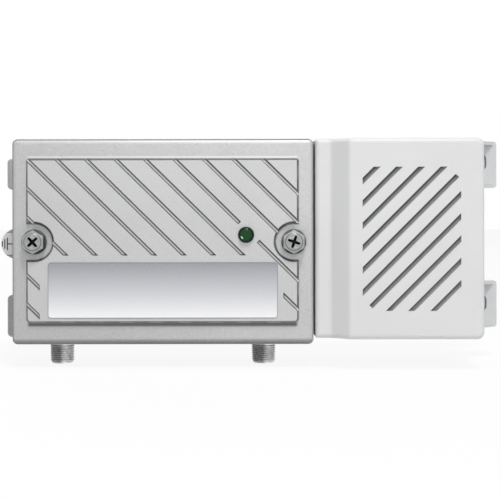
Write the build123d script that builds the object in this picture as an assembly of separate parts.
from build123d import *
import os
from math import sqrt

# Wall-mounted amplifier for television signals, in millimetres.
# X runs right along the wall, Y into the wall and Z up. The origin lies on the wall face,
# level with the middle of the metal box. Depths are distances out from the wall, so they
# become negative Y.

os.makedirs("parts", exist_ok=True)

# Clearances and overrun
overrun = 1.0                # how far a cut passes the surface that it opens
seam_gap = 0.15              # between the tray rim and the cover
seat_gap = 0.05              # under a part that turns or slides on a flat seat
free_gap = 0.35              # round a part that moves or drops in freely
fit_gap = 0.05               # radial gap of a thread, a shaft or a wire in its hole
trim_gap = 0.1               # round a part that is pressed or glued in place

# Metal box: tray and cover
box_left = -90.6
box_width = 114.8
box_height = 78.3
tray_depth = 30.0
cover_depth = 7.85
corner_radius = 2.0
inner_corner_radius = 1.0
wall = 2.2
floor_thickness = 2.5
cover_thickness = 2.0
cover_edge_radius = 1.9
tray_edge_radius = 0.6
back_recess_depth = 0.8
back_land_width = 16.0
back_rim_width = 6.0

# Raised panel of the cover
panel_height = 1.5
panel_draft = 30             # degrees
panel_edge_radius = 0.25
panel_foot_radius = 0.7      # where the panel rises from the rim
panel_left_margin = 5.55
panel_right_margin = 5.6
panel_top_margin = 7.45
panel_bottom_margin = 8.25
panel_low_radius = 1.9
panel_high_radius = 1.0
notch_radius = 6.8

# Diagonal grooves in the panel, falling to the right
groove_fall = 44.5           # degrees below level
groove_width = 0.75          # at the floor
groove_draft = 20            # degrees
groove_depth = 1.1
groove_pitch = 11.18         # along X
groove_corner_offset = 0.5   # first groove from the panel's top left corner, along X
groove_pivot_height = 12.0   # where each groove keeps its place along X
grooves_to_left = 2
grooves_to_right = 8
groove_above_label = 3.0
left_stub_gap = 3.5          # from the short grooves to the label
right_stub_gap = 2.55
lamp_groove_gap = 5.3        # half the break of one groove at the lamp

# Rating label
label_left_margin = 8.5
label_right_margin = 8.15
label_bottom_margin = 2.0
label_height = 21.1
label_thickness = 0.2
label_radius = 1.2

# Cover screws, captive: a narrow neck runs in the cover, a thread in the tray
left_screw_inset = 8.7
right_screw_inset = 7.6
screw_thread_radius = 2.5
screw_neck_radius = 1.9
screw_thread_length = 5.4
screw_engagement = 4.4
head_across_flats = 8.0
head_height = 3.4
head_edge_radius = 0.5
recess_length = 5.0
recess_width = 1.15
recess_depth = 2.2
recess_draft = 8             # degrees
left_recess_turn = 45        # degrees
right_recess_turn = 17       # degrees
washer_radius = 4.75
washer_thickness = 1.0
screw_boss_radius = 5.0

# Indicator lamp
lamp_from_right = 25.7
lamp_above_middle = 2.6
lens_radius = 3.0
lens_rise = 1.7
lens_dome_radius = 1.5
lens_tail = 1.2
lamp_radius = 2.5
lamp_height = 8.0
lamp_lens_gap = 0.25
lamp_leg_width = 0.5
lamp_leg_spacing = 2.54

# Coaxial sockets
socket_left_inset = 16.2     # axis from the box's left edge
socket_right_inset = 18.9    # axis from the box's right edge
socket_depth = 19.0          # axis from the wall
socket_radius = 4.7625
socket_length = 9.1
socket_mouth_radius = 3.6
socket_chamfer = 0.5
socket_collar_radius = 5.2    # in the box's wall
socket_flange_flats = 12.0
socket_flange_thickness = 2.5
socket_tail_radius = 4.3
socket_tail_length = 3.3
insulator_recess = 0.7
insulator_lip = 2.0
contact_radius = 1.0
contact_bore_radius = 0.6
contact_tail_length = 3.2
contact_leg_width = 0.9

# Earth ear on the left wall
ear_radius = 6.05
ear_offset = 0.4             # centre outside the wall
ear_drop = 1.1               # centre below the middle of the box
ear_front = 26.0
ear_length = 14.0
ear_chamfer_rise = 4.2
wire_bore_radius = 1.6
wire_bore_from_wall = 2.0
ear_screw_depth = 19.0
ear_screw_radius = 1.5
ear_slot_width = 0.6
ear_slot_depth = 0.9
pad_radius = 1.2
pad_thickness = 0.6
clamp_travel = 1.4
symbol_width = 0.45
symbol_depth = 0.35
symbol_pitch = 1.0
symbol_bar_lengths = (4.85, 3.7, 2.2)
symbol_first_bar = 4.15      # from the wall

# Metal wall lugs
lug_reach = 8.9
lug_thickness = 4.0
lug_radius = 1.8
lug_edge_radius = 0.7
slot_radius = 2.3
slot_length = 7.0
left_slot_reach = 4.6
upper_left_lug_height = 12.6
upper_left_lug_drop = 6.0
lower_left_lug_height = 17.2
lower_left_lug_fall = 0.8    # below the box's bottom face

# Power-supply housing
psu_gap = 0.4                # from the metal box
psu_width = 63.6
psu_top_rise = 0.2           # above the metal box
psu_bottom_rise = 2.2        # above the metal box's bottom face
psu_depth = 45.0
psu_step = 6.5               # main face in front of the strip
psu_strip_width = 6.0
psu_ramp_run = 6.7
psu_ramp_radius = 2.2
psu_seam_depth = 24.0
psu_seam_gap = 0.1
psu_draft = 1                # degrees
psu_wall = 2.0
psu_edge_radius = 1.8
psu_right_radius = 3.0
psu_left_radius = 1.0

# Vents of the front shell, rising to the right at 45 degrees
vent_count = 10
vent_width = 1.8
vent_pitch = 8.34            # along X
vent_first_offset = 5.46     # first vent from the window's top left corner, along X
vent_left_margin = 4.8       # window from the ramp's end
vent_right_margin = 9.2
vent_top_margin = 11.2
vent_bottom_margin = 11.1
vent_corner_cut = 4.7        # along X, off the window's top right and bottom left corners
vent_screen_margin = 2.0     # round the vents' field
vent_screen_thickness = 0.4

# Plastic wall lugs
right_lug_reach = 12.8
right_lug_height = 18.9
right_slot_reach = 6.4
right_lug_radius = 1.2
upper_right_lug_rise = 0.5   # above the housing's top
lower_right_lug_inset = 1.0  # above the housing's bottom
upper_slot_drop = 8.5
lower_slot_rise = 9.7
web_thickness = 1.4
web_depth = 14.0

# Circuit boards and small screws
board_thickness = 1.6
board_rise = 5.5             # back of the main board above the tray floor
board_clear = 1.5
board_inset = 4.5            # screw from the board's edges
boss_radius = 3.0
small_screw_radius = 1.25
small_screw_hole = 1.6
small_head_radius = 2.7
small_head_height = 1.8
small_recess_length = 3.0
small_recess_width = 0.7
small_recess_depth = 0.9
small_screw_length = 5.0

# Parts on the main board
fence_thickness = 0.6
fence_top_gap = 1.1          # below the tray rim
fence_margin = 1.5
fence_arch_width = 8.0
fence_arch_height = 3.0
flange_width = 12.6
flange_height = 44.0
flange_thickness = 3.0
flange_screw_inset = 3.4
case_screw_gap = 0.4          # from the module's case to its screws
case_thickness = 9.0
case_inset = 0.4
adjuster_width = 9.4
adjuster_height = 5.2
rotor_radius = 3.6
rotor_rise = 1.6
rotor_recess = 1.4
rotor_slot_width = 0.9
rotor_slot_length = 5.2
rotor_slot_depth = 1.1
rotor_shaft_radius = 1.0
rotor_shaft_length = 1.6
coil_radius = 4.4
coil_bore_radius = 2.0
coil_height = 5.0
coil_edge_radius = 0.8
capacitor_radius = 4.0
capacitor_height = 11.0
capacitor_edge_radius = 0.6
chip_width = 5.0
chip_height = 6.2
chip_thickness = 1.7
header_width = 8.0
header_height = 2.6
header_thickness = 2.5
header_pitch = 2.54
header_pin_radius = 0.32
header_pin_length = 6.0
jumper_width = 5.0
jumper_thickness = 6.4
dc_header_width = 7.0
dc_header_height = 9.0
dc_header_thickness = 7.4

# Lead between the power supply and the main board
lead_drop = 19.0             # below the middle of the box
lead_depth = 14.0
lead_wire_radius = 0.8
lead_wire_spacing = 2.4
grommet_radius = 2.8
grommet_flange_radius = 4.0
grommet_flange = 1.0

# Screws that hold the power supply to the tray
link_screw_depth = 18.0
link_screw_rise = 28.0       # above and below the middle of the box
link_boss_radius = 3.2
link_boss_length = 5.5
link_pad_radius = 4.0
link_screw_length = 9.0

# Inside of the power supply
shell_post_inset = 5.6
shell_post_radius = 3.2
shell_shoulder_radius = 4.5
shell_screw_length = 26.0
shell_head_recess = 0.4
psu_board_rise = 6.0
psu_board_clear = 0.6
core_width = 26.0
core_height = 9.0
core_thickness = 20.0
winding_width = 17.2
winding_height = 26.0
winding_edge_radius = 1.5
mains_capacitor_radius = 8.0
mains_capacitor_height = 24.0
output_capacitor_radius = 4.2
output_capacitor_height = 15.0
x_capacitor_width = 18.0
x_capacitor_height = 7.0
x_capacitor_thickness = 12.0
choke_width = 12.0
choke_thickness = 14.0
fuse_radius = 2.6
fuse_length = 20.0
fuse_rise = 3.8
fuse_clip_length = 4.5
fuse_clip_width = 6.8
fuse_clip_wall = 0.5
sink_width = 24.0
sink_thickness = 2.2
sink_height = 22.0
transistor_width = 10.0
transistor_thickness = 2.4
transistor_height = 15.0
psu_header_from_wall = 4.0

# Mains inlet, two round pins in an eight-shaped cavity
inlet_width = 21.0
inlet_thickness = 13.0
inlet_length = 15.0
inlet_cavity_radius = 4.1
inlet_cavity_depth = 11.0
inlet_pin_spacing = 8.6
inlet_pin_radius = 1.2
inlet_pin_recess = 1.6
inlet_tab_length = 3.0
cavity_waist_share = 0.55    # height of the cavity's middle, as a share of its ends

# Places on the main board, as shares of its width and height
gain_shares = {
    "forward_gain": (0.154, 0.84),
    "forward_slope": (0.275, 0.84),
    "return_gain": (0.785, 0.84),
    "return_slope": (0.900, 0.84),
}
fence_shares = {"input_fence": 0.345, "output_fence": 0.694}
fence_arch_shares = (0.2, 0.5, 0.8)
amplifier_share = (0.517, 0.387)
coil_shares = ((0.173, 0.585), (0.250, 0.290), (0.852, 0.358))
capacitor_shares = ((0.758, 0.302), (0.758, 0.155), (0.880, 0.670))
chip_shares = ((0.225, 0.115), (0.400, 0.620), (0.640, 0.640))
header_share = (0.517, 0.880)

# Places on the power-supply board, as shares of its width and height
transformer_share = (0.530, 0.640)
mains_capacitor_share = (0.250, 0.385)
output_capacitor_shares = ((0.145, 0.545), (0.145, 0.722))
x_capacitor_share = (0.600, 0.290)
choke_share = (0.880, 0.275)
fuse_share = (0.918, 0.625)
sink_share = (0.560, 0.938)
inlet_share = 0.663

# Places that follow from the sizes above
box_right = box_left + box_width
box_top = box_height / 2
box_bottom = -box_top
rim_y = -(tray_depth + seam_gap + cover_depth)
tray_rim_y = -tray_depth
cover_back_y = tray_rim_y - seam_gap
floor_y = -floor_thickness
panel_y = rim_y - panel_height
inner_left = box_left + wall
inner_right = box_right - wall
inner_top = box_top - wall
inner_bottom = -inner_top
gasket_thickness = wall / 2
ear_screw_length = (ear_offset + ear_radius - wire_bore_from_wall - wire_bore_radius
                    - trim_gap - pad_thickness - seat_gap)

panel_left = box_left + panel_left_margin
panel_right = box_right - panel_right_margin
panel_top = box_top - panel_top_margin
panel_bottom = box_bottom + panel_bottom_margin
left_screw_x = box_left + left_screw_inset
right_screw_x = box_right - right_screw_inset
lamp_x = box_right - lamp_from_right
label_span_x = (panel_left + label_left_margin, panel_right - label_right_margin)
label_span_z = (panel_bottom + label_bottom_margin, panel_bottom + label_bottom_margin + label_height)

psu_left = box_right + psu_gap
psu_right = psu_left + psu_width
psu_top = box_top + psu_top_rise
psu_bottom = box_bottom + psu_bottom_rise
psu_seam_y = -psu_seam_depth
psu_strip_depth = psu_depth - psu_step

board_back_y = floor_y - board_rise
board_y = board_back_y - board_thickness
board_span_x = (inner_left + board_clear, inner_right - board_clear)
board_span_z = (inner_bottom + board_clear, inner_top - board_clear)
psu_board_back_y = -psu_wall - psu_board_rise
psu_board_y = psu_board_back_y - board_thickness
psu_board_span_x = (psu_left + psu_wall + psu_board_clear, psu_right - psu_wall - psu_board_clear)
psu_board_span_z = (psu_bottom + psu_wall + psu_board_clear, psu_top - psu_wall - psu_board_clear)
case_height = flange_height - 2 * (flange_screw_inset + small_head_radius + case_screw_gap)


# General shapes

def middle(span):
    """Middle of a pair of coordinates."""
    return (span[0] + span[1]) / 2


def length(span):
    """Distance between a pair of coordinates."""
    return abs(span[1] - span[0])


def around(centre, size):
    """Pair of coordinates that lie evenly about a centre."""
    return (centre - size / 2, centre + size / 2)


def share_of(span, share):
    """Coordinate at a share of the way along a span."""
    return span[0] + (span[1] - span[0]) * share


def block(x_span, y_span, z_span):
    """Box between three pairs of coordinates."""
    centre = Pos(middle(x_span), middle(y_span), middle(z_span))
    return centre * Box(length(x_span), length(y_span), length(z_span))


def rod_x(x_span, y, z, radius):
    """Round bar along X."""
    return Pos(middle(x_span), y, z) * Rot(0, 90, 0) * Cylinder(radius, length(x_span))


def rod_y(x, y_span, z, radius):
    """Round bar along Y."""
    return Pos(x, middle(y_span), z) * Rot(90, 0, 0) * Cylinder(radius, length(y_span))


def rod_z(x, y, z_span, radius):
    """Round bar along Z."""
    return Pos(x, y, middle(z_span)) * Cylinder(radius, length(z_span))


def facing(y):
    """Plane parallel to the wall that looks out from it, with X right and Z up."""
    return Plane(origin=(0, y, 0), x_dir=(1, 0, 0), z_dir=(0, -1, 0))


def rounded(x_span, z_span, radius):
    """Flat rectangle with round corners, drawn in X and Z."""
    return Pos(middle(x_span), middle(z_span)) * RectangleRounded(length(x_span), length(z_span), radius)


def plate(x_span, y_span, z_span, radius, taper=0):
    """Slab between two depths, with corners rounded as seen from the front."""
    return extrude(facing(y_span[0]) * rounded(x_span, z_span, radius), amount=length(y_span), taper=taper)


def hexagon(across_flats, turn=0):
    """Flat hexagon of a given width across its flats, one corner at the top."""
    return Rot(0, 0, 90 + turn) * RegularPolygon(across_flats / sqrt(3), 6)


def cross(size, width, turn):
    """Flat cross of a screwdriver recess."""
    return Rot(0, 0, turn) * (Rectangle(size, width) + Rectangle(width, size))


def ring_edges(solid, y):
    """Edges of a solid that lie in one plane parallel to the wall."""
    return solid.edges().filter_by_position(Axis.Y, y - fit_gap, y + fit_gap)


def pan_screw(x, y, z, turn=0):
    """Small screw with a low round head; its seat is at y and it points into the wall."""
    head = rod_y(x, (y, y - small_head_height), z, small_head_radius)
    head = fillet(ring_edges(head, y - small_head_height), small_head_height / 2)
    shank = rod_y(x, (y - seat_gap, y + small_screw_length), z, small_screw_radius)
    recess = extrude(facing(y - small_head_height + small_recess_depth)
                     * Pos(x, z) * cross(small_recess_length, small_recess_width, turn),
                     amount=small_recess_depth + overrun)
    return head + shank - recess


# Metal box

def lug_slot(x, z, y_span):
    """Upright slot for a wall screw."""
    outline = Pos(x, z) * Rot(0, 0, 90) * SlotOverall(slot_length, 2 * slot_radius)
    return extrude(facing(y_span[0]) * outline, amount=length(y_span))


def left_lugs():
    """Two flat lugs at the back of the left wall, each with an upright slot."""
    upper = (box_top - upper_left_lug_drop - upper_left_lug_height, box_top - upper_left_lug_drop)
    low = box_bottom - lower_left_lug_fall
    lower = (low, low + lower_left_lug_height)
    lugs = Part()
    for z_span in (upper, lower):
        lug = plate((box_left - lug_reach, inner_left), (0, -lug_thickness), z_span, lug_radius)
        lug = fillet(ring_edges(lug, -lug_thickness), lug_edge_radius)
        lug -= block((box_left + wall / 2, inner_left + overrun), (overrun, -lug_thickness - overrun), z_span)
        lug -= lug_slot(box_left - left_slot_reach, middle(z_span), (overrun, -lug_thickness - overrun))
        lugs += lug
    return lugs


def ear_symbol(x_wall, y, z):
    """Earth sign cut into the ear's front: three bars and a stem."""
    sunk = (y + symbol_depth, y - overrun)
    marks = block((x_wall - symbol_first_bar, x_wall - symbol_first_bar + symbol_pitch * 2), sunk,
                  around(z, symbol_width))
    for place, size in enumerate(symbol_bar_lengths):
        x = x_wall - symbol_first_bar - symbol_pitch * place
        marks += block(around(x, symbol_width), sunk, around(z, size))
    return marks


def earth_ear():
    """Half-round boss on the left wall with an upright hole for the earth wire."""
    front, back = -ear_front, -(ear_front - ear_length)
    ear = rod_y(box_left - ear_offset, (back, front), -ear_drop, ear_radius)
    ear -= block((box_left + wall / 2, box_left + ear_radius + overrun), (back + overrun, front - overrun),
                 around(-ear_drop, 2 * ear_radius + overrun))
    for side in (1, -1):
        corner = Pos(box_left - ear_radius, front, -ear_drop + side * ear_radius) * Rot(45, 0, 0)
        size = sqrt(2) * (ear_radius - ear_chamfer_rise)
        ear -= corner * Box(2 * ear_radius + wall, size, size)
    ear -= ear_symbol(box_left, front, -ear_drop)
    return ear


def ear_cuts():
    """Wire bore and screw hole of the earth ear."""
    x = box_left - wire_bore_from_wall
    reach = ear_radius + overrun
    bore = rod_z(x, -ear_screw_depth, around(-ear_drop, 2 * reach), wire_bore_radius)
    inner = x - wire_bore_radius + pad_thickness + clamp_travel + seat_gap
    hole = rod_x((box_left - ear_offset - reach, inner), -ear_screw_depth, -ear_drop,
                 ear_screw_radius + fit_gap)
    return bore + hole


def screw_places():
    """Centres of the two cover screws."""
    return ((left_screw_x, 0), (right_screw_x, 0))


def board_screw_places():
    """Centres of the four main-board screws."""
    return [(x, z)
            for x in (board_span_x[0] + board_inset, board_span_x[1] - board_inset)
            for z in (board_span_z[0] + board_inset, board_span_z[1] - board_inset)]


def amplifier_centre():
    """Place of the amplifier module."""
    return share_of(board_span_x, amplifier_share[0]), share_of(board_span_z, amplifier_share[1])


def socket_places():
    """Centres of the two coaxial sockets along X."""
    return {"input": box_left + socket_left_inset, "output": box_right - socket_right_inset}


def tray_back_recesses():
    """Shallow pockets in the back, left and right of a flat middle land."""
    z_span = (box_bottom + back_rim_width, box_top - back_rim_width)
    left = (box_left + back_rim_width, -back_land_width / 2)
    right = (back_land_width / 2, box_right - back_rim_width)
    pockets = Part()
    for x_span in (left, right):
        pockets += plate(x_span, (overrun, -back_recess_depth), z_span, corner_radius)
    return pockets


def housing_base():
    """Die-cast tray with lugs, ear, bosses and the holes in its walls."""
    tray = plate((box_left, box_right), (0, tray_rim_y), (box_bottom, box_top), corner_radius)
    tray = chamfer(ring_edges(tray, 0), tray_edge_radius)
    tray -= plate((inner_left, inner_right), (floor_y, tray_rim_y - overrun), (inner_bottom, inner_top),
                  inner_corner_radius)
    half = wall / 2
    tray -= plate((box_left + half, box_right - half), (tray_rim_y + gasket_thickness, tray_rim_y - overrun),
                  (box_bottom + half, box_top - half), inner_corner_radius)
    tray -= tray_back_recesses()
    tray += left_lugs() + earth_ear()
    for x, z in screw_places():
        tray += rod_y(x, (floor_y, tray_rim_y), z, screw_boss_radius)
    for x, z in board_screw_places():
        tray += rod_y(x, (floor_y, board_back_y), z, boss_radius)
    x, z = amplifier_centre()
    tray += block(around(x, flange_width), (floor_y, board_y), around(z, flange_height))
    tray -= ear_cuts()
    for x, z in screw_places():
        tray -= rod_y(x, (tray_rim_y + screw_thread_length + screw_engagement, tray_rim_y - overrun), z,
                      screw_thread_radius + fit_gap)
    for x, z in board_screw_places():
        tray -= rod_y(x, (board_back_y + small_screw_length, board_back_y - overrun), z,
                      small_screw_radius + fit_gap)
    for side in (1, -1):
        tray -= rod_y(x_of_flange_screw(), (board_y + small_screw_length, board_y - overrun),
                      z_of_flange_screw(side), small_screw_radius + fit_gap)
        tray -= rod_x((inner_right - overrun, box_right + overrun), -link_screw_depth,
                      side * link_screw_rise, small_screw_hole)
    for x in socket_places().values():
        tray -= rod_z(x, -socket_depth, (box_bottom - overrun, inner_bottom + overrun),
                      socket_collar_radius + fit_gap)
    tray -= rod_x((inner_right - overrun, box_right + overrun), -lead_depth, -lead_drop, grommet_radius)
    return tray


def cover_gasket():
    """Flat conductive ring that lies on the step inside the tray's rim."""
    half = wall / 2
    y_span = (tray_rim_y + gasket_thickness, tray_rim_y)
    ring = plate((box_left + half + trim_gap, box_right - half - trim_gap), y_span,
                 (box_bottom + half + trim_gap, box_top - half - trim_gap), inner_corner_radius)
    inside = (y_span[0] + overrun, y_span[1] - overrun)
    return ring - plate((inner_left, inner_right), inside, (inner_bottom, inner_top), inner_corner_radius)


# Cover

def panel_outline():
    """Raised field as seen from the front, with a half-round notch at each screw."""
    x_span = (panel_left, panel_right)
    upper = rounded(x_span, (middle((panel_bottom, panel_top)), panel_top), panel_high_radius)
    lower_top = panel_top - panel_low_radius
    outline = rounded(x_span, (panel_bottom, lower_top), panel_low_radius) + upper
    for (x, z), edge in zip(screw_places(), (box_left, box_right)):
        notch = Pos(x, z) * Circle(notch_radius)
        notch += Pos(middle((x, edge)), z) * Rectangle(abs(x - edge), 2 * notch_radius)
        outline -= notch
    return outline


def groove_line(number):
    """Sum of X and Z where one groove keeps its place, counted to the left of the corner."""
    return panel_left + panel_top + groove_corner_offset - groove_pitch * number


def groove_stripe(number):
    """Long flat strip along one groove's centre line."""
    pivot_x = groove_line(number) - groove_pivot_height
    size = box_width + box_height
    return Pos(pivot_x, groove_pivot_height) * Rot(0, 0, -groove_fall) * Rectangle(size, groove_width)


def clip(x_span, z_span):
    """Flat rectangle that limits a stripe."""
    return Pos(middle(x_span), middle(z_span)) * Rectangle(length(x_span), length(z_span))


def groove_marks():
    """All groove outlines on the panel: long ones above the label, short ones beside it."""
    far_left, far_right = box_left - overrun, box_right + overrun
    top = box_top
    field = clip((far_left, far_right), (label_span_z[1] + groove_above_label, top))
    lamp_break = Pos(lamp_x, lamp_above_middle) * Rot(0, 0, -groove_fall) * Rectangle(
        2 * lamp_groove_gap, 2 * lens_radius + groove_width)
    lamp_number = -round((lamp_x + lamp_above_middle - groove_line(0)) / groove_pitch)
    right_field = clip((lamp_x, far_right), (box_bottom, top))
    marks = []
    for number in range(-grooves_to_right, grooves_to_left + 1):
        stripe = groove_stripe(number)
        if number == lamp_number:
            marks.append((stripe & (field + right_field)) - lamp_break)
        else:
            marks.append(stripe & field)
    left_field = clip((far_left, label_span_x[0] - left_stub_gap), (box_bottom, label_span_z[1]))
    for number in (grooves_to_left + 2, grooves_to_left + 3):
        marks.append(groove_stripe(number) & left_field)
    low_field = clip((label_span_x[1] + right_stub_gap, far_right), (box_bottom, label_span_z[1]))
    marks.append(groove_stripe(lamp_number + 1) & low_field)
    return marks


def panel_foot_edges(cover):
    """Edges where the raised panel meets the rim round it."""
    def within(value, low, high):
        return low - fit_gap < value < high + fit_gap

    return [edge for edge in ring_edges(cover, rim_y)
            if within(edge.center().X, panel_left, panel_right) and within(edge.center().Z, panel_bottom, panel_top)]


def front_cover():
    """Die-cast cover: shallow box, raised grooved panel, two screw seats and the lens hole."""
    cover = plate((box_left, box_right), (cover_back_y, rim_y), (box_bottom, box_top), corner_radius)
    cover = fillet(ring_edges(cover, rim_y), cover_edge_radius)
    inside = (cover_back_y + overrun, rim_y + cover_thickness)
    cover -= plate((inner_left, inner_right), inside, (inner_bottom, inner_top), inner_corner_radius)
    panel = extrude(facing(rim_y + cover_thickness / 2) * panel_outline(), amount=cover_thickness / 2)
    panel += extrude(facing(rim_y) * panel_outline(), amount=panel_height, taper=panel_draft)
    panel = fillet(ring_edges(panel, panel_y), panel_edge_radius)
    cover += panel
    cover = fillet(panel_foot_edges(cover), panel_foot_radius)
    for marks in groove_marks():
        cover -= extrude(facing(panel_y + groove_depth) * marks, amount=groove_depth + overrun,
                         taper=-groove_draft)
    boss_y = (cover_back_y, rim_y + cover_thickness / 2)
    for x, z in screw_places():
        cover += rod_y(x, boss_y, z, screw_boss_radius)
        cover -= rod_y(x, (cover_back_y + overrun, rim_y + cover_thickness), z,
                       screw_thread_radius + free_gap)
        cover -= rod_y(x, (cover_back_y, panel_y - overrun), z, screw_neck_radius + free_gap)
    cover -= rod_y(lamp_x, (cover_back_y, panel_y - overrun), lamp_above_middle, lens_radius + trim_gap)
    return cover


def rating_label():
    """Thin film on the panel below the grooves."""
    return plate(label_span_x, (panel_y, panel_y - label_thickness), label_span_z, label_radius)


def led_lens():
    """Domed light guide in the panel."""
    front = panel_y - lens_rise
    lens = rod_y(lamp_x, (rim_y + cover_thickness + lens_tail, front), lamp_above_middle, lens_radius)
    return fillet(ring_edges(lens, front), lens_dome_radius)


# Cover screws

def washer_front():
    """Depth of the washer's front face."""
    return rim_y - seat_gap - washer_thickness


def cover_washer(x, z):
    """Flat washer under a cover screw's head."""
    y_span = (rim_y - seat_gap, washer_front())
    return rod_y(x, y_span, z, washer_radius) - rod_y(x, (rim_y, washer_front() - overrun), z,
                                                     screw_thread_radius + free_gap)


def cover_screw(x, z, turn):
    """Hexagon head with a cross recess, narrow neck, and thread at the far end."""
    seat = washer_front() - seat_gap
    front = seat - head_height
    head = extrude(facing(seat) * Pos(x, z) * hexagon(head_across_flats), amount=head_height)
    rounding = rod_y(x, (seat, front), z, head_across_flats / sqrt(3))
    head &= fillet(ring_edges(rounding, front), head_edge_radius)
    recess = extrude(facing(front) * Pos(x, z) * cross(recess_length, recess_width, turn),
                     amount=-recess_depth, taper=recess_draft)
    thread_end = tray_rim_y + screw_engagement
    neck = rod_y(x, (seat, thread_end), z, screw_neck_radius)
    thread = rod_y(x, (thread_end - screw_thread_length, thread_end), z, screw_thread_radius)
    thread = chamfer(ring_edges(thread, thread_end), (screw_thread_radius - screw_neck_radius) / 2)
    return head - recess + neck + thread


# Coaxial sockets

def socket_body(x):
    """Threaded barrel below the box, collar in its wall, hexagon flange and tail inside it."""
    tip = box_bottom - socket_length
    flange_top = inner_bottom + socket_flange_thickness
    barrel = rod_z(x, -socket_depth, (tip, inner_bottom), socket_radius)
    ends = barrel.edges().filter_by_position(Axis.Z, tip - fit_gap, tip + fit_gap)
    barrel = chamfer(ends, socket_chamfer)
    collar = rod_z(x, -socket_depth, (box_bottom, inner_bottom), socket_collar_radius)
    flange = extrude(Plane(origin=(x, -socket_depth, inner_bottom)) * hexagon(socket_flange_flats),
                     amount=socket_flange_thickness)
    tail = rod_z(x, -socket_depth, (flange_top, flange_top + socket_tail_length), socket_tail_radius)
    body = barrel + collar + flange + tail
    return body - rod_z(x, -socket_depth, (tip - overrun, flange_top + socket_tail_length + overrun),
                        socket_mouth_radius)


def socket_insulator(x):
    """White core of a socket with a narrow entry for the plug's wire."""
    tip = box_bottom - socket_length + insulator_recess
    top = inner_bottom + socket_flange_thickness + socket_tail_length
    core = rod_z(x, -socket_depth, (tip, top), socket_mouth_radius)
    core -= rod_z(x, -socket_depth, (tip - overrun, top), contact_bore_radius)
    return core - rod_z(x, -socket_depth, (tip + insulator_lip, top + overrun), contact_radius)


def socket_contact(x):
    """Centre contact: a tube in the insulator and a leg down to the board."""
    low = box_bottom - socket_length + insulator_recess + insulator_lip
    top = inner_bottom + socket_flange_thickness + socket_tail_length
    tube = rod_z(x, -socket_depth, (low, top + contact_tail_length), contact_radius)
    tube -= rod_z(x, -socket_depth, (low - overrun, top), contact_bore_radius)
    leg_z = (top + contact_tail_length - contact_leg_width, top + contact_tail_length)
    return tube + block(around(x, contact_leg_width), (-socket_depth, board_y), leg_z)


# Earth terminal

def ear_screw_head_x():
    """Outer end of the earth screw, level with the ear's tip."""
    return box_left - ear_offset - ear_radius


def earth_pad():
    """Small pressure disc between the earth screw and the wire."""
    x = ear_screw_head_x() + ear_screw_length + seat_gap
    return rod_x((x, x + pad_thickness), -ear_screw_depth, -ear_drop, pad_radius)


def earth_screw():
    """Headless slotted screw in the ear."""
    x = ear_screw_head_x()
    screw = rod_x((x, x + ear_screw_length), -ear_screw_depth, -ear_drop, ear_screw_radius)
    slot = block((x - overrun, x + ear_slot_depth), around(-ear_screw_depth, 2 * ear_screw_radius + overrun),
                 around(-ear_drop, ear_slot_width))
    return screw - slot


# Main board and what stands on it

def main_board():
    """Circuit board with room for the screw bosses and the amplifier module."""
    board = plate(board_span_x, (board_back_y, board_y), board_span_z, inner_corner_radius)
    through = (board_back_y + overrun, board_y - overrun)
    room = screw_boss_radius + free_gap
    for (x, z), edge in zip(screw_places(), (inner_left, inner_right)):
        board -= rod_y(x, through, z, room)
        board -= block(sorted((x, edge)), through, around(z, 2 * room))
    x, z = amplifier_centre()
    board -= block(around(x, flange_width + 2 * free_gap), through, around(z, flange_height + 2 * free_gap))
    for x, z in board_screw_places():
        board -= rod_y(x, through, z, small_screw_hole)
    return board


def board_screws():
    """Four small screws of the main board."""
    return [pan_screw(x, board_y, z) for x, z in board_screw_places()]


def fence(share):
    """Upright screening wall with three low arches for the tracks."""
    x = share_of(board_span_x, share)
    z_span = (board_span_z[0] + fence_margin, board_span_z[1] - fence_margin)
    wall_plate = block(around(x, fence_thickness), (board_y, tray_rim_y + fence_top_gap), z_span)
    for arch_share in fence_arch_shares:
        z = share_of(z_span, arch_share)
        wall_plate -= block(around(x, fence_thickness + overrun), (board_y + overrun, board_y - fence_arch_height),
                            around(z, fence_arch_width))
    return wall_plate


def x_of_flange_screw():
    """Screws of the amplifier's flange, along X."""
    return amplifier_centre()[0]


def z_of_flange_screw(side):
    """Screws of the amplifier's flange, along Z."""
    return amplifier_centre()[1] + side * (flange_height / 2 - flange_screw_inset)


def amplifier_flange():
    """Metal foot of the amplifier module."""
    x, z = amplifier_centre()
    foot = block(around(x, flange_width), (board_y, board_y - flange_thickness), around(z, flange_height))
    for side in (1, -1):
        foot -= rod_y(x_of_flange_screw(), (board_y + overrun, board_y - flange_thickness - overrun),
                      z_of_flange_screw(side), small_screw_hole)
    return foot


def amplifier_case():
    """Moulded body of the amplifier module."""
    x, z = amplifier_centre()
    base = board_y - flange_thickness
    case = block(around(x, flange_width - 2 * case_inset), (base, base - case_thickness), around(z, case_height))
    return chamfer(ring_edges(case, base - case_thickness), case_inset)


def amplifier_screws():
    """Two screws of the amplifier's flange."""
    return [pan_screw(x_of_flange_screw(), board_y - flange_thickness, z_of_flange_screw(side), 45)
            for side in (1, -1)]


def adjuster_body(shares):
    """Square body of a rotary adjuster with a round well and a shaft bore."""
    x, z = share_of(board_span_x, shares[0]), share_of(board_span_z, shares[1])
    front = board_y - adjuster_height
    body = block(around(x, adjuster_width), (board_y, front), around(z, adjuster_width))
    body -= rod_y(x, (front + rotor_recess, front - overrun), z, rotor_radius + free_gap)
    return body - rod_y(x, (board_y - board_thickness, front), z, rotor_shaft_radius + fit_gap)


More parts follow.
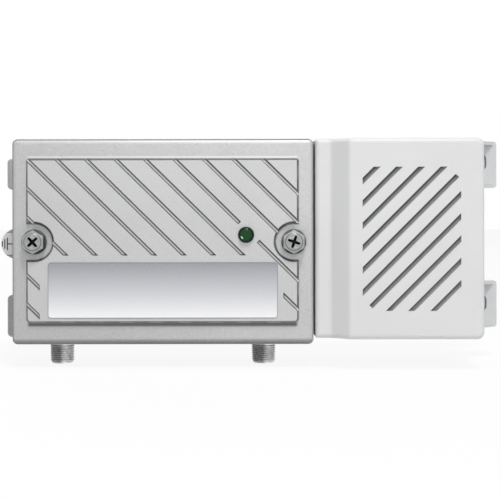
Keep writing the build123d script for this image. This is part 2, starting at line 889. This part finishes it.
def adjuster_rotor(shares):
    """Slotted disc of a rotary adjuster with its shaft."""
    x, z = share_of(board_span_x, shares[0]), share_of(board_span_z, shares[1])
    seat = board_y - adjuster_height + rotor_recess - seat_gap
    front = board_y - adjuster_height - rotor_rise
    disc = rod_y(x, (seat, front), z, rotor_radius)
    disc = chamfer(ring_edges(disc, front), (rotor_radius - rotor_slot_length / 2) / 3)
    disc -= block(around(x, rotor_slot_width), (front + rotor_slot_depth, front - overrun),
                  around(z, rotor_slot_length))
    return disc + rod_y(x, (seat, seat + rotor_shaft_length), z, rotor_shaft_radius)


def filter_coils():
    """Ring cores that lie on the board."""
    coils = []
    for shares in coil_shares:
        x, z = share_of(board_span_x, shares[0]), share_of(board_span_z, shares[1])
        core = rod_y(x, (board_y, board_y - coil_height), z, coil_radius)
        core = fillet(ring_edges(core, board_y - coil_height), coil_edge_radius)
        coils.append(core - rod_y(x, (board_y + overrun, board_y - coil_height - overrun), z, coil_bore_radius))
    return coils


def can(x, z, base, radius, height):
    """Upright round capacitor."""
    body = rod_y(x, (base, base - height), z, radius)
    return fillet(ring_edges(body, base - height), capacitor_edge_radius)


def board_capacitors():
    """Round capacitors on the main board."""
    return [can(share_of(board_span_x, shares[0]), share_of(board_span_z, shares[1]), board_y,
                capacitor_radius, capacitor_height)
            for shares in capacitor_shares]


def board_chips():
    """Flat integrated circuits on the main board."""
    chips = []
    for shares in chip_shares:
        x, z = share_of(board_span_x, shares[0]), share_of(board_span_z, shares[1])
        chips.append(block(around(x, chip_width), (board_y, board_y - chip_thickness), around(z, chip_height)))
    return chips


def header_pin_xs():
    """Centres of the return-path header's three pins along X."""
    x = share_of(board_span_x, header_share[0])
    return [x + header_pitch * step for step in (-1, 0, 1)]


def header_z():
    """Height of the return-path header."""
    return share_of(board_span_z, header_share[1])


def return_header():
    """Three-pin header beside the amplifier module."""
    x, z = header_pin_xs()[1], header_z()
    base = board_y - header_thickness
    body = block(around(x, header_width), (board_y, base), around(z, header_height))
    for pin_x in header_pin_xs():
        body += rod_y(pin_x, (base + header_thickness / 2, base - header_pin_length), z, header_pin_radius)
    return body


def return_jumper():
    """Plug-on bridge over two of the header's pins."""
    x_left = middle(header_pin_xs()[:2])
    back = board_y - header_thickness - seat_gap
    cap = block(around(x_left, jumper_width - trim_gap), (back, back - jumper_thickness),
                around(header_z(), header_height))
    for pin_x in header_pin_xs()[:2]:
        cap -= rod_y(pin_x, (back + overrun, back - header_pin_length), header_z(), header_pin_radius + fit_gap)
    return cap


def power_led():
    """Lamp on two legs behind the light guide."""
    front = rim_y + cover_thickness + lens_tail + lamp_lens_gap
    lamp = rod_y(lamp_x, (front + lamp_height, front), lamp_above_middle, lamp_radius)
    lamp = fillet(ring_edges(lamp, front), lamp_radius / 2)
    for side in (1, -1):
        x = lamp_x + side * lamp_leg_spacing / 2
        lamp += block(around(x, lamp_leg_width), (board_y, front + lamp_height),
                      around(lamp_above_middle, lamp_leg_width))
    return lamp


# Lead between the two housings

def wire_zs():
    """Heights of the two wires."""
    return [-lead_drop + side * lead_wire_spacing / 2 for side in (1, -1)]


def board_header_face():
    """Right face of the main board's supply header."""
    return board_span_x[1]


def psu_header_face():
    """Left face of the power supply's output header."""
    return psu_left + psu_wall + psu_header_from_wall


def dc_header(x_span, base):
    """Block connector that one end of the lead enters."""
    body = block(x_span, (base, base - dc_header_thickness), around(-lead_drop, dc_header_height))
    return chamfer(ring_edges(body, base - dc_header_thickness), lead_wire_radius)


def dc_lead():
    """Two straight insulated wires from header to header."""
    return [rod_x((board_header_face(), psu_header_face()), -lead_depth, z, lead_wire_radius) for z in wire_zs()]


def wall_grommet():
    """Rubber bush through both housing walls."""
    x_span = (inner_right - grommet_flange, psu_left + psu_wall + grommet_flange)
    bush = rod_x(x_span, -lead_depth, -lead_drop, grommet_radius - trim_gap)
    bush += rod_x((x_span[0], inner_right), -lead_depth, -lead_drop, grommet_flange_radius)
    bush += rod_x((psu_left + psu_wall, x_span[1]), -lead_depth, -lead_drop, grommet_flange_radius)
    for z in wire_zs():
        bush -= rod_x((x_span[0] - overrun, x_span[1] + overrun), -lead_depth, z, lead_wire_radius + fit_gap)
    return bush


# Power-supply housing

def psu_outline(inset):
    """Outline of the power supply as seen from the front, with tight left corners."""
    x_span = (psu_left + inset, psu_right - inset)
    z_span = (psu_bottom + inset, psu_top - inset)
    right = rounded(x_span, z_span, max(psu_right_radius - inset, psu_left_radius))
    left_part = (x_span[0], middle(x_span))
    return right + rounded(left_part, z_span, psu_left_radius)


def psu_profile(inset):
    """Side profile of the front shell: low strip, ramp and main face, extruded along Z."""
    strip_y = -psu_strip_depth + inset
    face_y = -psu_depth + inset
    ramp_start = psu_left + psu_strip_width + inset * (sqrt(2) - 1)
    ramp_end = ramp_start + psu_ramp_run
    far_right = psu_right + overrun
    far_left = psu_left - overrun
    line = [(far_left, overrun), (far_left, strip_y), (ramp_start, strip_y), (ramp_end, face_y),
            (far_right, face_y), (far_right, overrun)]
    face = make_face(Polyline(*line, close=True))
    corners = [vertex for vertex in face.vertices() if ramp_start - fit_gap < vertex.X < ramp_end + fit_gap]
    face = fillet(corners, psu_ramp_radius)
    return extrude(Plane(origin=(0, 0, psu_bottom - overrun)) * face,
                   amount=psu_top - psu_bottom + 2 * overrun)


def psu_front_form(inset):
    """Front shell as a solid block, drawn in by a wall where asked."""
    seam = psu_seam_y - psu_seam_gap + (overrun if inset else 0)
    block_form = extrude(facing(seam) * psu_outline(inset), amount=psu_depth + seam + overrun, taper=psu_draft)
    return block_form & psu_profile(inset)


def shell_post_places():
    """Centres of the four posts that the shell screws run in."""
    return [(x, z)
            for x in (psu_left + shell_post_inset, psu_right - shell_post_inset)
            for z in (psu_bottom + shell_post_inset, psu_top - shell_post_inset)]


def vent_window():
    """Field that the vents are cut off at, as spans of X and Z."""
    face_left = psu_left + psu_strip_width + psu_ramp_run
    return ((face_left + vent_left_margin, psu_right - vent_right_margin),
            (psu_bottom + vent_bottom_margin, psu_top - vent_top_margin))


def vent_marks():
    """Diagonal vent outlines, cut off at the edges of their field."""
    x_span, z_span = vent_window()
    size = length(x_span) + length(z_span)
    limit = Pos(middle(x_span), middle(z_span)) * Rot(0, 0, 45) * Rectangle(
        (size - 2 * vent_corner_cut) / sqrt(2), size)
    window = clip(x_span, z_span) & limit
    marks = []
    for number in range(vent_count):
        difference = x_span[0] - z_span[1] + vent_first_offset + vent_pitch * number
        stripe = Pos(difference / 2, -difference / 2) * Rot(0, 0, 45) * Rectangle(2 * size, vent_width)
        marks.append(stripe & window)
    return marks


def psu_front_shell():
    """White front shell with strip, ramp, vented face and screw posts."""
    outer = psu_front_form(0)
    front_edges = [edge for edge in outer.edges()
                   if edge.bounding_box().max.Y < -psu_strip_depth + psu_wall
                   and edge_is_outer(edge)]
    shell = fillet(front_edges, psu_edge_radius)
    shell -= psu_front_form(psu_wall)
    seam = psu_seam_y - psu_seam_gap
    for x, z in shell_post_places():
        shell += psu_front_form(psu_wall / 2) & rod_y(x, (seam, -psu_depth), z, shell_post_radius)
        shell -= rod_y(x, (seam + overrun, psu_seam_y - shell_screw_length / 2), z, small_screw_radius + fit_gap)
    for marks in vent_marks():
        shell -= extrude(facing(-psu_depth + psu_wall + overrun) * marks, amount=psu_wall + 2 * overrun)
    return shell


def vent_screen():
    """Stiff fine mesh plate behind the vents that keeps dust and wires out."""
    margin = vent_screen_margin
    x_span, z_span = vent_window()
    front = -psu_depth + psu_wall + seat_gap
    return plate((x_span[0] - margin, x_span[1] + margin), (front + vent_screen_thickness, front),
                 (z_span[0] - margin, z_span[1] + margin), margin)


def edge_is_outer(edge):
    """Whether an edge borders the side walls, not the ends of the ramp."""
    box = edge.bounding_box()
    on_ramp_line = length((box.min.Z, box.max.Z)) > (psu_top - psu_bottom) / 2
    inside = psu_left + psu_strip_width / 2 < box.min.X < psu_right - psu_right_radius * 2
    return not (on_ramp_line and inside)


def right_lug(z_span, slot_z):
    """Flat lug beside the back shell with an upright slot and a web at each end."""
    x_span = (psu_right - psu_wall / 2, psu_right + right_lug_reach)
    lug = plate(x_span, (0, -lug_thickness), z_span, right_lug_radius)
    for low in (z_span[0], z_span[1] - web_thickness):
        points = [(x_span[0], 0), (x_span[1] - right_lug_radius, 0),
                  (x_span[1] - right_lug_radius, -lug_thickness), (x_span[0], -web_depth)]
        web = make_face(Polyline(*points, close=True))
        lug += extrude(Plane(origin=(0, 0, low)) * web, amount=web_thickness)
    return lug - lug_slot(psu_right + right_slot_reach, slot_z, (overrun, -lug_thickness - overrun))


def inlet_x():
    """Centre of the mains inlet along X."""
    return share_of(psu_board_span_x, inlet_share)


def inlet_y_span():
    """Depths that the mains inlet's body fills, from the board outwards."""
    return (psu_board_y, psu_board_y - inlet_thickness)


def psu_back_shell():
    """Back shell against the wall, with lugs, posts, link bosses and the inlet's window."""
    x_span, z_span = (psu_left, psu_right), (psu_bottom, psu_top)
    shell = extrude(facing(0) * psu_outline(0), amount=psu_seam_depth)
    shell = chamfer(ring_edges(shell, 0), tray_edge_radius)
    shell -= extrude(facing(-psu_wall) * psu_outline(psu_wall), amount=psu_seam_depth)
    upper_top = psu_top + upper_right_lug_rise
    lower_low = psu_bottom + lower_right_lug_inset
    shell += right_lug((upper_top - right_lug_height, upper_top), upper_top - upper_slot_drop)
    shell += right_lug((lower_low, lower_low + right_lug_height), lower_low + lower_slot_rise)
    inner_x = (psu_left + psu_wall / 2, psu_left + psu_wall + link_boss_length)
    for side in (1, -1):
        z = side * link_screw_rise
        shell += rod_x(inner_x, -link_screw_depth, z, link_boss_radius)
        shell += rod_x((box_right, psu_left + psu_wall / 2), -link_screw_depth, z, link_pad_radius)
    for x, z in shell_post_places():
        shell += rod_y(x, (-psu_wall / 2, psu_board_back_y), z, shell_shoulder_radius)
        shell += rod_y(x, (psu_board_back_y, psu_seam_y), z, shell_post_radius)
        shell -= rod_y(x, (overrun, psu_seam_y - overrun), z, small_screw_hole)
        shell -= rod_y(x, (overrun, -shell_head_recess - small_head_height), z, small_head_radius + free_gap)
    for side in (1, -1):
        shell -= rod_x((box_right - overrun, inner_x[1] + overrun), -link_screw_depth, side * link_screw_rise,
                       small_screw_radius + fit_gap)
    shell -= rod_x((psu_left - overrun, psu_left + psu_wall + overrun), -lead_depth, -lead_drop, grommet_radius)
    opening = around(inlet_x(), inlet_width + 2 * trim_gap)
    y_low, y_high = inlet_y_span()
    shell -= block(opening, (y_low + trim_gap, y_high - trim_gap), (z_span[0] - overrun, z_span[0] + psu_wall))
    return shell


def shell_screws():
    """Four screws from the wall side that hold the two shells together."""
    screws = []
    for x, z in shell_post_places():
        seat = -shell_head_recess - small_head_height
        head = rod_y(x, (seat, -shell_head_recess), z, small_head_radius)
        head -= extrude(facing(-shell_head_recess - small_recess_depth)
                        * Pos(x, z) * cross(small_recess_length, small_recess_width, 0),
                        amount=-(small_recess_depth + overrun))
        screws.append(head + rod_y(x, (seat, seat - shell_screw_length), z, small_screw_radius))
    return screws


def link_screws():
    """Two screws from inside the tray into the power supply's side."""
    screws = []
    for side in (1, -1):
        z = side * link_screw_rise
        head = rod_x((inner_right - small_head_height, inner_right), -link_screw_depth, z, small_head_radius)
        recess = Plane(origin=(inner_right - small_head_height, -link_screw_depth, z), z_dir=(1, 0, 0))
        head -= extrude(recess * cross(small_recess_length, small_recess_width, 0), amount=small_recess_depth)
        shank = rod_x((inner_right, inner_right + link_screw_length), -link_screw_depth, z, small_screw_radius)
        screws.append(head + shank)
    return screws


# Inside of the power supply

def psu_at(shares):
    """Place on the power-supply board."""
    return share_of(psu_board_span_x, shares[0]), share_of(psu_board_span_z, shares[1])


def psu_board():
    """Power-supply board, held by the shoulders of the four posts."""
    board = plate(psu_board_span_x, (psu_board_back_y, psu_board_y), psu_board_span_z, psu_left_radius)
    through = (psu_board_back_y + overrun, psu_board_y - overrun)
    for x, z in shell_post_places():
        board -= rod_y(x, through, z, shell_post_radius + trim_gap)
        side_x = psu_left if x < middle(psu_board_span_x) else psu_right
        side_z = psu_bottom if z < middle(psu_board_span_z) else psu_top
        board -= block((x, side_x), through, (z, side_z))
    return board


def standing_block(shares, width, thickness, height):
    """Box that stands on the power-supply board."""
    x, z = psu_at(shares)
    return block(around(x, width), (psu_board_y, psu_board_y - thickness), around(z, height))


def transformer_winding():
    """Taped winding of the transformer."""
    winding = standing_block(transformer_share, winding_width, winding_width, winding_height)
    return fillet(winding.edges().filter_by(Axis.Z), winding_edge_radius)


def transformer_core():
    """Ferrite frame round the middle of the winding."""
    x, z = psu_at(transformer_share)
    gap = 2 * trim_gap
    core = standing_block(transformer_share, core_width, core_thickness, core_height)
    return core - block(around(x, winding_width + gap), (psu_board_y + overrun, psu_board_y - winding_width - gap / 2),
                        around(z, core_height + overrun))


def fuse():
    """Glass cartridge fuse above its clips' feet."""
    x, z = psu_at(fuse_share)
    return rod_z(x, psu_board_y - fuse_rise, around(z, fuse_length), fuse_radius)


def fuse_clips():
    """Two spring clips that hold the fuse."""
    x, z = psu_at(fuse_share)
    clips = []
    for side in (1, -1):
        clip_z = around(z + side * (fuse_length - fuse_clip_length) / 2, fuse_clip_length)
        body = block(around(x, fuse_clip_width), (psu_board_y, psu_board_y - fuse_rise - fuse_radius), clip_z)
        trough = (psu_board_y - fuse_clip_wall, psu_board_y - fuse_rise - fuse_radius - overrun)
        body -= block(around(x, fuse_clip_width - 2 * fuse_clip_wall), trough, (clip_z[0] - overrun,
                                                                               clip_z[1] + overrun))
        rest_y = (psu_board_y, psu_board_y - fuse_rise)
        rest = block(around(x, fuse_clip_wall), rest_y, clip_z)
        rest -= rod_z(x, psu_board_y - fuse_rise, (clip_z[0] - overrun, clip_z[1] + overrun), fuse_radius)
        clips.append(body + rest)
    return clips


def heat_sink():
    """Upright metal plate beside the transformer."""
    return standing_block(sink_share, sink_width, sink_height, sink_thickness)


def switching_transistor():
    """Flat transistor against the heat sink."""
    x, z = psu_at(sink_share)
    top = z - sink_thickness / 2
    y_span = (psu_board_y - transistor_thickness, psu_board_y - transistor_thickness - transistor_height)
    body = block(around(x, transistor_width), y_span, (top - transistor_thickness, top))
    for step in (-1, 0, 1):
        body += block(around(x + step * header_pitch, 2 * header_pin_radius), (psu_board_y, y_span[0]),
                      around(top - transistor_thickness / 2, 2 * header_pin_radius))
    return body


def inlet_cavity(z_span):
    """Eight-shaped space of the mains inlet."""
    x, y = inlet_x(), middle(inlet_y_span())
    shape = block(around(x, inlet_pin_spacing), around(y, 2 * inlet_cavity_radius * cavity_waist_share), z_span)
    for side in (1, -1):
        shape += rod_z(x + side * inlet_pin_spacing / 2, y, z_span, inlet_cavity_radius)
    return shape


def inlet_pin_places():
    """Centres of the two inlet pins along X."""
    return [inlet_x() + side * inlet_pin_spacing / 2 for side in (1, -1)]


def mains_inlet():
    """Moulded inlet that faces down through the housing's bottom wall."""
    low = psu_bottom
    body = block(around(inlet_x(), inlet_width), inlet_y_span(), (low, low + inlet_length))
    body -= inlet_cavity((low - overrun, low + inlet_cavity_depth))
    y = middle(inlet_y_span())
    for x in inlet_pin_places():
        body -= rod_z(x, y, (low, low + inlet_length + overrun), inlet_pin_radius)
    return body


def inlet_pins():
    """Two round contact pins with tabs behind the inlet."""
    y = middle(inlet_y_span())
    z_span = (psu_bottom + inlet_pin_recess, psu_bottom + inlet_length + inlet_tab_length)
    pins = []
    for x in inlet_pin_places():
        pin = rod_z(x, y, z_span, inlet_pin_radius)
        low_edge = pin.edges().filter_by_position(Axis.Z, z_span[0] - fit_gap, z_span[0] + fit_gap)
        pin = fillet(low_edge, inlet_pin_radius / 2)
        leg = block(around(x, inlet_pin_radius), (psu_board_y, y), (z_span[1] - inlet_pin_radius, z_span[1]))
        pins.append(pin + leg)
    return pins


# All sub-parts by the name of their file

def all_parts():
    """Every separate piece of the amplifier."""
    sockets = socket_places()
    parts = {
        "housing_base": housing_base(),
        "cover_gasket": cover_gasket(),
        "front_cover": front_cover(),
        "rating_label": rating_label(),
        "led_lens": led_lens(),
        "left_washer": cover_washer(*screw_places()[0]),
        "right_washer": cover_washer(*screw_places()[1]),
        "left_cover_screw": cover_screw(*screw_places()[0], left_recess_turn),
        "right_cover_screw": cover_screw(*screw_places()[1], right_recess_turn),
        "earth_pad": earth_pad(),
        "earth_screw": earth_screw(),
        "main_board": main_board(),
        "board_screws": board_screws(),
        "amplifier_flange": amplifier_flange(),
        "amplifier_case": amplifier_case(),
        "amplifier_screws": amplifier_screws(),
        "filter_coils": filter_coils(),
        "board_capacitors": board_capacitors(),
        "board_chips": board_chips(),
        "return_header": return_header(),
        "return_jumper": return_jumper(),
        "power_led": power_led(),
        "board_dc_header": dc_header((board_header_face() - dc_header_width, board_header_face()), board_y),
        "dc_lead": dc_lead(),
        "wall_grommet": wall_grommet(),
        "psu_front_shell": psu_front_shell(),
        "vent_screen": vent_screen(),
        "psu_back_shell": psu_back_shell(),
        "shell_screws": shell_screws(),
        "link_screws": link_screws(),
        "psu_board": psu_board(),
        "psu_dc_header": dc_header((psu_header_face(), psu_header_face() + dc_header_width), psu_board_y),
        "transformer_core": transformer_core(),
        "transformer_winding": transformer_winding(),
        "mains_capacitor": can(*psu_at(mains_capacitor_share), psu_board_y, mains_capacitor_radius,
                               mains_capacitor_height),
        "output_capacitors": [can(*psu_at(shares), psu_board_y, output_capacitor_radius,
                                  output_capacitor_height) for shares in output_capacitor_shares],
        "interference_capacitor": standing_block(x_capacitor_share, x_capacitor_width, x_capacitor_thickness,
                                                 x_capacitor_height),
        "line_choke": standing_block(choke_share, choke_width, choke_thickness, choke_width),
        "fuse": fuse(),
        "fuse_clips": fuse_clips(),
        "heat_sink": heat_sink(),
        "switching_transistor": switching_transistor(),
        "mains_inlet": mains_inlet(),
        "inlet_pins": inlet_pins(),
    }
    for name, x in sockets.items():
        parts[f"{name}_socket_body"] = socket_body(x)
        parts[f"{name}_socket_insulator"] = socket_insulator(x)
        parts[f"{name}_socket_contact"] = socket_contact(x)
    for name, shares in gain_shares.items():
        parts[f"{name}_body"] = adjuster_body(shares)
        parts[f"{name}_rotor"] = adjuster_rotor(shares)
    for name, share in fence_shares.items():
        parts[name] = fence(share)
    return parts


for name, shape in all_parts().items():
    if isinstance(shape, list):
        shape = Compound(children=shape)
    export_step(shape, f"parts/{name}.step")
    print(name, round(shape.volume, 1), shape.is_valid)
